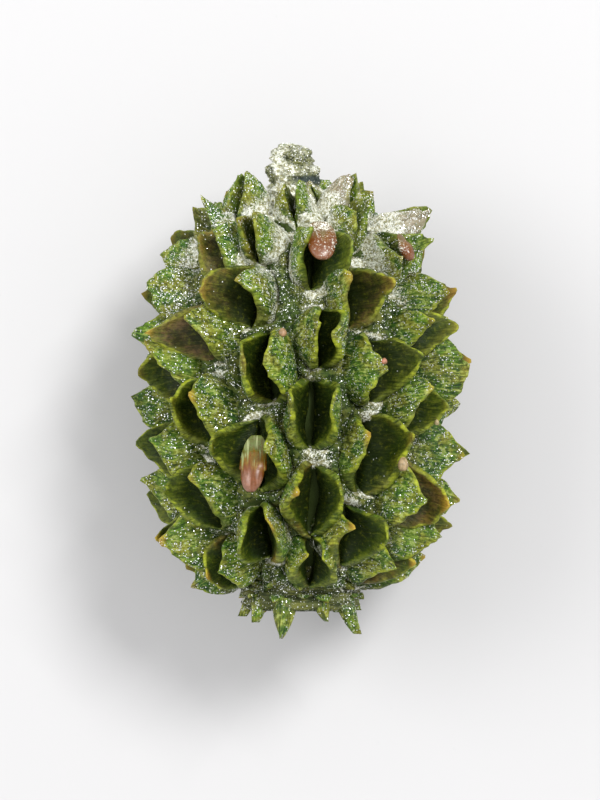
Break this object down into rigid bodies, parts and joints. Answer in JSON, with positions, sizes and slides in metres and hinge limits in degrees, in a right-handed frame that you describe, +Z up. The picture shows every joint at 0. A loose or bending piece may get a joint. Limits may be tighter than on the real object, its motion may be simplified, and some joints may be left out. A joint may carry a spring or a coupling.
{
  "type": "casuarina cone",
  "caption": "Open woody casuarina cone lying on its side, with pairs of pointed valves round slit cells, a nub at its tip, a broken stalk end and loose winged seeds.",
  "frame": {"origin": "centre of the bounding box's bottom face, on the plane that the lowest valve tips rest on", "axes": "+Y along the cone's axis, from the broken stalk end to the nub at the tip; +Z up, away from the floor; +X to the right, seen from above with the tip away from the viewer"},
  "size_m": [0.0188, 0.027, 0.0182],
  "materials": {
    "green_wood": "dry dark green, dusted with silver glitter and pale frosting",
    "seed_skin": "smooth orange-brown"
  },
  "bodies": {
    "root": {"cone": "green_wood", "seed_1": "seed_skin", "seed_2": "seed_skin", "seed_3": "seed_skin"}
  },
  "joints": []
}
